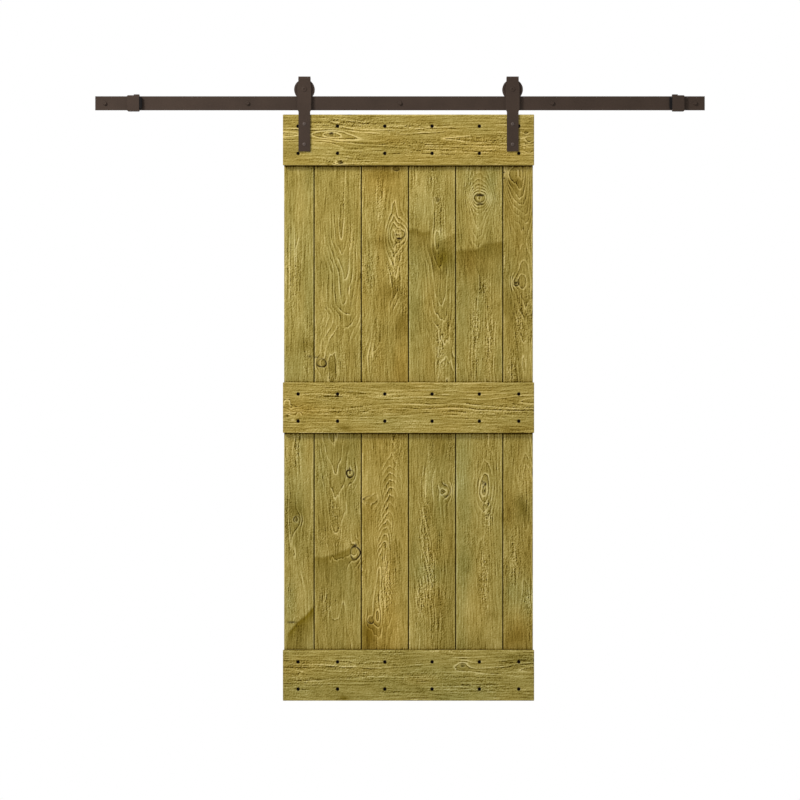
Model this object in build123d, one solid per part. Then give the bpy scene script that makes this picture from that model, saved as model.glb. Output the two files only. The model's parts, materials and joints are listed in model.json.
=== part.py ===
from build123d import *
import os
from math import cos, radians, tan

os.makedirs("parts", exist_ok=True)

# Sliding barn door hung on a flat track, in millimetres.
# The origin is on the wall plane at the middle of the track: +X right, +Y into the wall, +Z up.

# Track: a flat steel bar held off the wall by standoffs and lag screws
track_length = 2220.0
track_height = 50.8
track_thickness = 6.35
standoff_length = 38.1
standoff_radius = 12.0
standoff_sides = 16
lag_shank_radius = 4.0
lag_thread_radius = 3.5
lag_hole_clearance = 0.25
lag_length = 95.0
lag_head_across_flats = 12.7
lag_head_height = 5.6
lag_end_margin = 35.0

# End stops: slotted blocks slipped over the bar, each with a rubber pad and a set screw
stop_width = 44.0
stop_left_x = -949.0
stop_right_x = 991.0
stop_top_wall = 2.5
stop_bottom_wall = 4.0
stop_front_wall = 12.0
stop_back_wall = 5.8
stop_corner_chamfer = 2.5
stop_boss_width = 20.0
stop_boss_depth = 18.0
stop_boss_rise = 6.4
stop_screw_radius = 3.0
stop_screw_sunk = 0.8
bumper_length = 11.0
bumper_height = 42.0
bumper_depth = 9.5
bumper_nose_chamfer = 2.0

# Door leaf: tongue-and-groove planks under three cross rails
door_width = 914.4
door_height = 2133.6
door_centre_x = 31.0
door_drop = 16.3
board_thickness = 19.0
board_edge_chamfer = 1.0
rail_height = 184.15
plank_set_width = 907.0
plank_pitch = 172.0
plank_joint_count = 5
joint_reveal = 4.0
joint_back_gap = 0.4
tongue_thickness = 6.0
tongue_reach = 7.0
groove_depth_clearance = 1.0
groove_side_clearance = 0.2

# Wood screws: a countersunk head and a tapered shank that bites into the boards
screw_sides = 8
screw_head_radius = 5.0
screw_head_depth = 3.0
screw_head_slope = 40.0
screw_length = 32.0
screw_shank_slope = 2.0
screw_columns = [-401.5, -258.0, -86.0, 86.0, 258.0, 401.5]
screw_row_offset = 49.5

# Hangers: a strap bent over each wheel, with a bushed axle through both legs
hanger_offset = 379.0
strap_thickness = 5.0
strap_leg_width = 42.5
strap_body_width = 50.5
strap_neck_width = 44.0
strap_top_z = 97.1
strap_neck_z = 75.0
strap_body_top_z = 60.0
strap_body_bottom_z = -18.0
strap_shoulder_z = -32.0
strap_back_end_z = 31.0
strap_bottom_z = -176.4
strap_bend_radius = 7.5
strap_bolt_drops = [35.0, 109.0]
strap_bolt_radius = 4.0
strap_bolt_head_radius = 6.5
strap_bolt_head_height = 3.0
strap_nut_across_flats = 13.0
strap_nut_height = 6.5
bolt_end_past_nut = 2.5

wheel_width = 20.0
wheel_flange_radius = 37.5
wheel_tread_radius = 24.0
wheel_tread_width = 8.0
wheel_track_gap = 0.3
wheel_side_gap = 0.5
bush_radius = 8.0
bush_running_gap = 0.05
axle_radius = 5.0
axle_head_radius = 9.0
axle_head_height = 1.5
axle_nut_across_flats = 17.0
axle_nut_height = 8.0
axle_end_past_nut = 2.5

# Bolts and the holes they fill: they repeat, so they are drawn with few sides
bolt_sides = 12

# Planes and heights that follow from those sizes
track_back_y = -standoff_length
track_front_y = track_back_y - track_thickness
track_mid_y = (track_back_y + track_front_y) / 2
track_top_z = track_height / 2

leg_gap = wheel_width + 2 * wheel_side_gap
strap_back_y = track_mid_y - leg_gap / 2
strap_front_y = strap_back_y - strap_thickness
strap_rear_leg_y = track_mid_y + leg_gap / 2
strap_rear_face_y = strap_rear_leg_y + strap_thickness

rail_front_y = strap_back_y
plank_front_y = rail_front_y + board_thickness
plank_back_y = plank_front_y + board_thickness
tongue_mid_y = (plank_front_y + plank_back_y) / 2
tongue_front_y = tongue_mid_y - tongue_thickness / 2

door_top_z = -track_top_z - door_drop
door_bottom_z = door_top_z - door_height
rail_middles = {
    "top": door_top_z - rail_height / 2,
    "middle": door_top_z - door_height / 2,
    "bottom": door_bottom_z + rail_height / 2,
}
wheel_z = track_top_z + wheel_track_gap + wheel_tread_radius
hangers = {"left": door_centre_x - hanger_offset, "right": door_centre_x + hanger_offset}
bolt_places = [(x, door_top_z - drop) for x in hangers.values() for drop in strap_bolt_drops]
lag_xs = [-track_length / 2 + lag_end_margin, -track_length / 4, 0.0]
lag_xs += [-x for x in reversed(lag_xs[:2])]
middle_joint = (plank_joint_count - 1) / 2
joint_xs = [door_centre_x + plank_pitch * (k - middle_joint) for k in range(plank_joint_count)]
leaf_left_x = door_centre_x - plank_set_width / 2
leaf_right_x = door_centre_x + plank_set_width / 2
screw_xs = [door_centre_x + x for x in screw_columns]
stops = {"left": (stop_left_x, 1), "right": (stop_right_x, -1)}


# Small helpers
def block(x0, x1, y0, y1, z0, z1):
    """A box between two corners."""
    return Pos((x0 + x1) / 2, (y0 + y1) / 2, (z0 + z1) / 2) * Box(abs(x1 - x0), y1 - y0, z1 - z0)


def oblong(x0, x1, y0, y1):
    """A flat rectangle between two corners."""
    return Pos((x0 + x1) / 2, (y0 + y1) / 2) * Rectangle(x1 - x0, y1 - y0)


def into_wall(sketch, y0, y1, x=0.0, z=0.0):
    """A sketch in the front view, extruded towards the wall from y0 to y1."""
    return Pos(x, y0, z) * Rot(X=-90) * extrude(sketch, y1 - y0)


def bolt_round(radius):
    """The section of a bolt or of the hole that it fills."""
    return RegularPolygon(radius, bolt_sides)


def hexagon(across_flats):
    """A hexagon with a corner at each side."""
    return RegularPolygon(across_flats / 2 / cos(radians(30)), 6)


# Track
def make_track_bar():
    """The flat bar that the wheels run on, with a hole for each lag screw."""
    half = track_length / 2
    bar = block(-half, half, track_front_y, track_back_y, -track_top_z, track_top_z)
    hole = bolt_round(lag_shank_radius + lag_hole_clearance)
    return bar - [into_wall(hole, track_front_y, track_back_y, x) for x in lag_xs]


def make_standoffs():
    """The round spacers between the bar and the wall."""
    outer = RegularPolygon(standoff_radius, standoff_sides)
    ring = outer - bolt_round(lag_shank_radius + lag_hole_clearance)
    return Compound([into_wall(ring, track_back_y, 0.0, x) for x in lag_xs])


def lag_screw(x):
    """A hex lag screw: plain shank through bar and standoff, thread beyond the wall plane."""
    head_y = track_front_y - lag_head_height
    head = into_wall(hexagon(lag_head_across_flats), head_y, track_front_y, x)
    shank = into_wall(bolt_round(lag_shank_radius), track_front_y, 0.0, x)
    thread = into_wall(Circle(lag_thread_radius), 0.0, track_front_y + lag_length, x)
    return head + shank + thread


def make_stop_block(face_x, inward):
    """A slotted block over the bar; its boss stands at the end nearer the door."""
    front_y, back_y = track_front_y - stop_front_wall, track_back_y + stop_back_wall
    low_z, high_z = -track_top_z - stop_bottom_wall, track_top_z + stop_top_wall
    body = block(face_x, face_x - inward * stop_width, front_y, back_y, low_z, high_z)
    body = chamfer(body.edges().filter_by(Axis.Y), stop_corner_chamfer)
    boss_x = face_x - inward * stop_boss_width
    boss_front_y = back_y - stop_boss_depth
    boss = block(face_x, boss_x, boss_front_y, back_y, track_top_z, track_top_z + stop_boss_rise)
    half = track_length / 2
    slot = block(-half, half, track_front_y, track_back_y, -track_top_z, track_top_z)
    hole = extrude(bolt_round(stop_screw_radius), stop_boss_rise)
    return body + boss - slot - Pos((face_x + boss_x) / 2, track_mid_y, track_top_z) * hole


def make_stop_screw(face_x, inward):
    """The set screw that bears on the bar's upper edge."""
    screw = extrude(bolt_round(stop_screw_radius), stop_boss_rise - stop_screw_sunk)
    return Pos(face_x - inward * stop_boss_width / 2, track_mid_y, track_top_z) * screw


def make_bumper(face_x, inward):
    """The rubber pad that the strap's edge runs into."""
    nose_x = face_x + inward * bumper_length
    front_y = track_front_y - stop_front_wall + 1.0
    half = bumper_height / 2
    pad = block(face_x, nose_x, front_y, front_y + bumper_depth, -half, half)
    nose = pad.faces().filter_by(Axis.X).sort_by(Axis.X)[-1 if inward > 0 else 0]
    return chamfer(nose.edges().filter_by(Axis.Z), bumper_nose_chamfer)


# Door leaf
def screw_head():
    """The countersunk head, its top on the sketch plane."""
    section = RegularPolygon(screw_head_radius, screw_sides)
    return extrude(section, screw_head_depth, taper=screw_head_slope)


def make_screw():
    """A countersunk wood screw that points along +Z."""
    side_slope = tan(radians(screw_head_slope)) / cos(radians(180 / screw_sides))
    shank_section = RegularPolygon(screw_head_radius - screw_head_depth * side_slope, screw_sides)
    shank = extrude(shank_section, screw_length - screw_head_depth, taper=screw_shank_slope)
    return screw_head() + Pos(0, 0, screw_head_depth) * shank


def at_rail_screws(solid, middle_z):
    """A copy of the solid at each screw of one cross rail, turned towards the wall."""
    rows = (middle_z - screw_row_offset, middle_z + screw_row_offset)
    return [Pos(x, rail_front_y, z) * Rot(X=-90) * solid for z in rows for x in screw_xs]


def strap_bolt_holes():
    """The holes for the hanger bolts, through strap, rail and plank."""
    section = bolt_round(strap_bolt_radius)
    return [into_wall(section, strap_front_y, plank_back_y, x, z) for x, z in bolt_places]


def make_rail(middle_z):
    """A cross rail with eased front edges and a countersink for each screw."""
    half, half_height = door_width / 2, rail_height / 2
    left_x, right_x = door_centre_x - half, door_centre_x + half
    low_z, high_z = middle_z - half_height, middle_z + half_height
    board = block(left_x, right_x, rail_front_y, plank_front_y, low_z, high_z)
    board = chamfer(board.faces().sort_by(Axis.Y)[0].edges(), board_edge_chamfer)
    return board - at_rail_screws(screw_head(), middle_z)


def plank_section(left_x, right_x):
    """Plan of one plank, from joint line to joint line or out to a plain edge of the leaf."""
    grooved, tongued = left_x > leaf_left_x, right_x < leaf_right_x
    reveal, back_gap = joint_reveal / 2, joint_back_gap / 2
    front_right_x = right_x - reveal * tongued
    back_right_x = right_x - back_gap * tongued
    front = oblong(left_x + reveal * grooved, front_right_x, plank_front_y, tongue_front_y)
    back = oblong(left_x + back_gap * grooved, back_right_x, tongue_front_y, plank_back_y)
    section = front + back
    if tongued:
        tongue_back_y = tongue_front_y + tongue_thickness
        section += oblong(back_right_x, right_x + tongue_reach, tongue_front_y, tongue_back_y)
    if grooved:
        depth = tongue_reach + groove_depth_clearance
        half = tongue_thickness / 2 + groove_side_clearance
        section -= oblong(left_x, left_x + depth, tongue_mid_y - half, tongue_mid_y + half)
    return chamfer(section.vertices().group_by(Axis.Y)[0], board_edge_chamfer)


def make_plank(left_x, right_x):
    """A full-height plank, drilled where a hanger bolt goes through."""
    plank = Pos(0, 0, door_bottom_z) * extrude(plank_section(left_x, right_x), door_height)
    holes = [hole for hole in strap_bolt_holes() if left_x < hole.center().X < right_x]
    return plank - holes if holes else plank


# Hangers
def strap_outline():
    """Front view of the strap: a wide body over the wheel, a neck at the bend, a narrow leg."""
    leg, body, neck = strap_leg_width / 2, strap_body_width / 2, strap_neck_width / 2
    foot = Polyline((0, strap_bottom_z), (leg, strap_bottom_z), (leg, strap_shoulder_z))
    shoulder = TangentArc((body, strap_body_bottom_z), (leg, strap_shoulder_z), tangent=(0, -1))
    head = Polyline(
        (body, strap_body_bottom_z),
        (body, strap_body_top_z),
        (neck, strap_neck_z),
        (neck, strap_top_z),
        (0, strap_top_z),
    )
    half = foot + shoulder + head
    return make_face(half + mirror(half, about=Plane.YZ))


def make_strap(x):
    """The strap: flat on the door, up past the track, bent over the wheel and down behind it."""
    front_mid_y = strap_back_y - strap_thickness / 2
    rear_mid_y = strap_rear_leg_y + strap_thickness / 2
    top_mid_z = strap_top_z - strap_thickness / 2
    centre_line = FilletPolyline(
        (front_mid_y, strap_bottom_z),
        (front_mid_y, top_mid_z),
        (rear_mid_y, top_mid_z),
        (rear_mid_y, strap_back_end_z),
        radius=strap_bend_radius,
    )
    bent = extrude(Plane.YZ * trace(centre_line, strap_thickness), strap_body_width, both=True)
    strap = bent & extrude(Plane.XZ * strap_outline(), strap_body_width * 2, both=True)
    axle_hole = into_wall(bolt_round(axle_radius), strap_front_y, strap_rear_face_y, 0.0, wheel_z)
    return Pos(x, 0, 0) * (strap - axle_hole) - strap_bolt_holes()


def strap_bolt(x, z):
    """A round-head bolt through strap and leaf."""
    head_y = strap_front_y - strap_bolt_head_height
    end_y = plank_back_y + strap_nut_height + bolt_end_past_nut
    head = into_wall(bolt_round(strap_bolt_head_radius), head_y, strap_front_y, x, z)
    return head + into_wall(bolt_round(strap_bolt_radius), strap_front_y, end_y, x, z)


def strap_nut(x, z):
    """A hex nut on the back of the leaf."""
    section = hexagon(strap_nut_across_flats) - bolt_round(strap_bolt_radius)
    return into_wall(section, plank_back_y, plank_back_y + strap_nut_height, x, z)


def axle_bolt(x):
    """The low-headed bolt through both legs of the strap."""
    head_y = strap_front_y - axle_head_height
    end_y = strap_rear_face_y + axle_nut_height + axle_end_past_nut
    head = into_wall(Circle(axle_head_radius), head_y, strap_front_y, x, wheel_z)
    return head + into_wall(bolt_round(axle_radius), strap_front_y, end_y, x, wheel_z)


def axle_nut(x):
    """The nut behind the strap's rear leg."""
    section = hexagon(axle_nut_across_flats) - bolt_round(axle_radius)
    return into_wall(section, strap_rear_face_y, strap_rear_face_y + axle_nut_height, x, wheel_z)


def axle_bush(x):
    """The sleeve clamped between the strap's legs, on which the wheel turns."""
    section = Circle(bush_radius) - bolt_round(axle_radius)
    return into_wall(section, strap_back_y, strap_rear_leg_y, x, wheel_z)


def make_wheel(x):
    """A grooved wheel whose flanges straddle the bar."""
    side, tread = wheel_width / 2, wheel_tread_width / 2
    disc = oblong(bush_radius + bush_running_gap, wheel_flange_radius, -side, side)
    groove = oblong(wheel_tread_radius, wheel_flange_radius, -tread, tread)
    return Pos(x, track_mid_y, wheel_z) * revolve(disc - groove, Axis.Y)


# The nodes
plank_edges = [leaf_left_x, *joint_xs, leaf_right_x]
nodes = {
    "track_bar": make_track_bar(),
    "track_standoffs": make_standoffs(),
    "lag_screws": Compound([lag_screw(x) for x in lag_xs]),
    "stop_set_screws": Compound([make_stop_screw(*place) for place in stops.values()]),
    "strap_bolts": Compound([strap_bolt(x, z) for x, z in bolt_places]),
    "strap_nuts": Compound([strap_nut(x, z) for x, z in bolt_places]),
    "axle_bolts": Compound([axle_bolt(x) for x in hangers.values()]),
    "axle_nuts": Compound([axle_nut(x) for x in hangers.values()]),
    "axle_bushes": Compound([axle_bush(x) for x in hangers.values()]),
}
for side, place in stops.items():
    nodes[f"stop_block_{side}"] = make_stop_block(*place)
    nodes[f"stop_bumper_{side}"] = make_bumper(*place)
for name, middle_z in rail_middles.items():
    nodes[f"rail_{name}"] = make_rail(middle_z)
    nodes[f"rail_{name}_screws"] = Compound(at_rail_screws(make_screw(), middle_z))
nodes["rail_top"] -= strap_bolt_holes()
for number, edges in enumerate(zip(plank_edges, plank_edges[1:]), start=1):
    nodes[f"plank_{number}"] = make_plank(*edges)
for side, x in hangers.items():
    nodes[f"hanger_strap_{side}"] = make_strap(x)
    nodes[f"wheel_{side}"] = make_wheel(x)

for name, shape in nodes.items():
    export_step(shape, f"parts/{name}.step")

left_travel = hangers["left"] - strap_body_width / 2 - (stop_left_x + bumper_length)
right_travel = (stop_right_x - bumper_length) - hangers["right"] - strap_body_width / 2
print("room to slide, left and right:", round(left_travel, 2), round(right_travel, 2))
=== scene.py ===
"""A plank barn door with three cross rails, hung by bent straps on a flat wall track.

Every length is in metres. What is placed by the photograph is given in its pixels, as named values.
"""

import json
import math

import bmesh
import bpy
import numpy as np
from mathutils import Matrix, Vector


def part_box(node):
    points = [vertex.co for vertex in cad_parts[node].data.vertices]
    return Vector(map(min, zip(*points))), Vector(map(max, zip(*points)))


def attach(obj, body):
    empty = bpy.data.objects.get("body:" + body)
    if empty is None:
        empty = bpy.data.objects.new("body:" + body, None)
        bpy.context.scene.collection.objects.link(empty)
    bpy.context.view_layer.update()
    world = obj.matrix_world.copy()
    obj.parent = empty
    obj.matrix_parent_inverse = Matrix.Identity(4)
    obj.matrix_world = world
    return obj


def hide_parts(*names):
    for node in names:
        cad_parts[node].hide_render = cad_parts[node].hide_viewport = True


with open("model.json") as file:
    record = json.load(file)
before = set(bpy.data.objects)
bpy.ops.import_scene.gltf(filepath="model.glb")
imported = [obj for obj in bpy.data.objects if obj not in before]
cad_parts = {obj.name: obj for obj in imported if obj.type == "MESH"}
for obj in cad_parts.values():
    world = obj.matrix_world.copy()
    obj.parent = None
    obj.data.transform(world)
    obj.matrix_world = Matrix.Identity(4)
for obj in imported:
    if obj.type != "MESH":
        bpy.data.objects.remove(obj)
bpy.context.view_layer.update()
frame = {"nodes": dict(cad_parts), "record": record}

MM = 0.001

# The photograph: 800 x 800 pixels, seen straight on.
PIXEL = 3.639 * MM
MIDDLE_COLUMN = 400.0
TRACK_ROW = 103.0
PICTURE = 800


def column(x):
    """The photograph's column of a place across the door."""
    return MIDDLE_COLUMN + x / PIXEL


def row(z):
    """The photograph's row of a height."""
    return TRACK_ROW - z / PIXEL


def linear(red, green, blue):
    """A colour as the photograph writes it, 0 to 255, as light."""
    scaled = (value / 255 for value in (red, green, blue))
    light = [v / 12.92 if v < 0.04045 else ((v + 0.055) / 1.055) ** 2.4 for v in scaled]
    return (*light, 1.0)


# Meshes

def place(name, data):
    """A new object in the scene."""
    obj = bpy.data.objects.new(name, data)
    bpy.context.scene.collection.objects.link(obj)
    return obj


def add_object(name, points, faces, sharp=35):
    """An object from points and faces, smooth but for its sharp edges."""
    mesh = bpy.data.meshes.new(name)
    mesh.from_pydata([tuple(p) for p in points], [], faces)
    mesh.update()
    mesh.shade_smooth()
    mesh.set_sharp_from_angle(angle=math.radians(sharp))
    return place(name, mesh)


def welded(node):
    """The mesh of a CAD node with its points joined and its flat faces whole."""
    mesh = bmesh.new()
    mesh.from_mesh(frame["nodes"][node].data)
    bmesh.ops.remove_doubles(mesh, verts=mesh.verts, dist=1e-6)
    flat = math.radians(0.5)
    bmesh.ops.dissolve_limit(mesh, angle_limit=flat, verts=mesh.verts, edges=mesh.edges)
    return mesh


def islands(node):
    """The (low, high) corners of each separate solid in a CAD node, from left to right."""
    mesh = welded(node)
    left = set(mesh.verts)
    boxes = []
    while left:
        reached = [left.pop()]
        corners = []
        while reached:
            vert = reached.pop()
            corners.append(vert.co.copy())
            for edge in vert.link_edges:
                other = edge.other_vert(vert)
                if other in left:
                    left.remove(other)
                    reached.append(other)
        boxes.append([Vector([pick(c[i] for c in corners) for i in range(3)]) for pick in (min, max)])
    mesh.free()
    return sorted(boxes, key=lambda box: (round(box[0].x, 4), box[0].z))


def softened(node):
    """A copy of a CAD node with its hard edges rounded over."""
    edge, corner, sharp = 0.7 * MM, math.radians(40), math.radians(50)
    mesh = welded(node)
    hard = [e for e in mesh.edges if e.is_manifold and e.calc_face_angle() > corner]
    bmesh.ops.bevel(
        mesh, geom=hard, offset=edge, offset_type="OFFSET", segments=3, profile=0.5,
        affect="EDGES", clamp_overlap=True,
    )
    data = bpy.data.meshes.new(node + "_rounded")
    mesh.to_mesh(data)
    mesh.free()
    data.shade_smooth()
    data.set_sharp_from_angle(angle=sharp)
    obj = place(node + "_rounded", data)
    obj.modifiers.new("even", "WEIGHTED_NORMAL").keep_sharp = True
    bpy.context.view_layer.update()
    whole = bpy.data.meshes.new_from_object(obj.evaluated_get(bpy.context.evaluated_depsgraph_get()))
    obj.modifiers.clear()
    obj.data = whole
    return obj


def hexagon(flat):
    """The radius of a hexagon whose flats lie that far from the middle."""
    return lambda turn: flat / np.cos((turn + math.pi / 6) % (math.pi / 3) - math.pi / 6)


def capped(flat, cone):
    """A hexagon whose corners are turned down to a cone."""
    return lambda turn: np.minimum(hexagon(flat)(turn), cone)


def lobes(radius):
    """A star recess with six round lobes."""
    return lambda turn: radius * (1 + 0.14 * np.cos(6 * turn))


def skin_faces(rings, sides, start=0, closed=False):
    """Faces from each ring of points to the next one, and caps, or from the last ring to the first."""
    faces = []
    for ring in range(rings if closed else rings - 1):
        here, there = start + ring * sides, start + (ring + 1) % rings * sides
        for side in range(sides):
            after = (side + 1) % sides
            faces.append((here + side, here + after, there + after, there + side))
    if not closed:
        faces.append(tuple(start + side for side in reversed(range(sides))))
        faces.append(tuple(start + (rings - 1) * sides + side for side in range(sides)))
    return faces


def face_outwards(obj):
    """Turns the faces of a closed skin outwards."""
    mesh = bmesh.new()
    mesh.from_mesh(obj.data)
    bmesh.ops.recalc_face_normals(mesh, faces=mesh.faces)
    mesh.to_mesh(obj.data)
    mesh.free()


def add_attribute(obj, name, values):
    """Three values for each point of an object, for its material to read."""
    layer = obj.data.attributes.new(name, "FLOAT_VECTOR", "POINT")
    layer.data.foreach_set("vector", values.astype(np.float32).ravel())


def turned(name, bases, stations, sides=48, axis="Y", closed=False):
    """Like pieces in one object, each built of rings along an axis.

    bases are the points where the axis enters, and stations are (distance along, radius) pairs, where a
    radius is a number or a function of the angle. A closed outline joins its last ring to its first.
    """
    turns = np.linspace(0, 2 * math.pi, sides, endpoint=False)
    points, faces = [], []
    for base in bases:
        start = len(points)
        for along, radius in stations:
            reach = radius(turns) if callable(radius) else np.full(sides, radius)
            across, up = reach * np.cos(turns), reach * np.sin(turns)
            if axis == "Y":
                points += [(base[0] + a, base[1] + along, base[2] + u) for a, u in zip(across, up)]
            else:
                points += [(base[0] + a, base[1] - u, base[2] + along) for a, u in zip(across, up)]
        faces += skin_faces(len(stations), sides, start, closed)
    return add_object(name, points, faces, sharp=32)


QUARTER = [math.radians(a) for a in (0, 30, 60, 90)]  # the steps of a rounded edge


def rounded_ring(outer, inner, length, edge):
    """The closed outline of a tube with rounded rims."""
    front = [(edge * (1 - math.sin(a)), outer - edge * (1 - math.cos(a))) for a in QUARTER]
    back = [(length - y, r) for y, r in reversed(front)]
    return [(0.3 * edge, inner), (0, inner + 0.3 * edge), *reversed(front), *reversed(back),
            (length, inner + 0.3 * edge), (length - 0.3 * edge, inner)]


# Materials

class Nodes:
    """A short way to write a material's nodes."""

    def __init__(self, name):
        self.material = bpy.data.materials.new(name)
        self.material.use_nodes = True
        self.tree = self.material.node_tree
        self.shader = self.tree.nodes["Principled BSDF"]
        self.place = self.add("TexCoord").outputs["Object"]

    def add(self, kind, inputs=(), **settings):
        node = self.tree.nodes.new("ShaderNode" + kind)
        for name, value in settings.items():
            setattr(node, name, value)
        for key, value in dict(inputs).items():
            self.set(node.inputs[key], value)
        return node

    def set(self, socket, value):
        if isinstance(value, bpy.types.NodeSocket):
            self.tree.links.new(value, socket)
        else:
            socket.default_value = value

    def math(self, operation, first, second=0.0, third=0.0):
        return self.add("Math", {0: first, 1: second, 2: third}, operation=operation).outputs[0]

    def attribute(self, name):
        """The three values of a point attribute."""
        node = self.add("Attribute", attribute_name=name)
        return self.add("SeparateXYZ", {0: node.outputs["Vector"]}).outputs

    def stretch(self, vector, x, y, z):
        return self.add("VectorMath", {0: vector, 1: (x, y, z)}, operation="MULTIPLY").outputs[0]

    def noise(self, vector, scale=1.0, detail=2.0, roughness=0.5):
        inputs = {"Vector": vector, "Scale": scale, "Detail": detail, "Roughness": roughness}
        return self.add("TexNoise", inputs).outputs[0]

    def embossed(self, vector, shift):
        """Noise lit from one side: what it is here less what it is a little further on."""
        moved = self.add("VectorMath", {0: vector, 1: shift}, operation="ADD").outputs[0]
        return self.math("SUBTRACT", self.noise(vector, detail=1.0), self.noise(moved, detail=1.0))

    def ramp(self, value, stops):
        node = self.add("ValToRGB", {0: value})
        elements = node.color_ramp.elements
        while len(elements) < len(stops):
            elements.new(0.5)
        for element, (position, colour) in zip(elements, stops):
            element.position = position
            element.color = colour if hasattr(colour, "__len__") else (colour, colour, colour, 1)
        return node.outputs[0]

    def mix(self, factor, first, second, blend="MIX"):
        inputs = {0: factor, 6: first, 7: second}
        return self.add("Mix", inputs, data_type="RGBA", blend_type=blend).outputs[2]

    def spread(self, value, low, high, to_low=0.0, to_high=1.0):
        return self.add("MapRange", {0: value, 1: low, 2: high, 3: to_low, 4: to_high}).outputs[0]

    def bump(self, height, strength, distance):
        inputs = {"Height": height, "Strength": strength, "Distance": distance}
        self.set(self.shader.inputs["Normal"], self.add("Bump", inputs).outputs[0])

    def finish(self, colour, roughness, specular=0.5):
        looks = {"Base Color": colour, "Roughness": roughness, "Specular IOR Level": specular}
        for name, value in looks.items():
            self.set(self.shader.inputs[name], value)
        return self.material


# How bright the wood is across a growth ring's edge, by pixels from it: a light ridge beside a dark line,
# partly the grain's own colour and partly a painted highlight and painted shade, as on a ridge lit from one
# side.
RIDGE = [(-1.8, 0.5), (-1.3, 0.40), (-0.85, 0.08), (-0.35, 0.5),
         (0.1, 1.0), (0.55, 0.92), (1.2, 0.6), (1.8, 0.5)]

LINES = 2 * math.pi / 2.7  # how far the wave of the fine lines between the rings turns in a pixel
BLUNT = 0.25  # how far, in rings, the tips of the grain's loops are rounded off

# The stained wood's colours from its darkest pores to its brightest ridges.
WOOD_COLOURS = [
    (0.0, linear(52, 37, 0)),
    (0.15, linear(101, 83, 20)),
    (0.35, linear(138, 120, 53)),
    (0.5, linear(155, 137, 69)),
    (0.65, linear(169, 151, 83)),
    (0.85, linear(190, 172, 106)),
    (1.0, linear(208, 190, 126)),
]
# What that colour is multiplied by where the wood is cool or warm or darkly stained, and the painted shade
# on the sides of a joint.
COOL = linear(234, 246, 255)
WARM = linear(255, 243, 218)
WASHED = (0.46, 0.40, 0.08, 1)
JOINT_SHADE = linear(74, 64, 46)
# Mixed in at cracks and knot rims, and as painted shade round the screw seats.
CRACK_AND_SHADE = linear(30, 17, 0)

# How often the fine noises change in a pixel: across the grain and along it.
STREAK, FIBRE, DASH, HAIR = (0.29, 0.02), (0.66, 0.06), (0.78, 0.7), (3.4, 0.12)
MOTTLE, DRIFT, STRONG = (0.11, 0.07), (0.09, 0.02), (0.25, 0.05)


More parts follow.
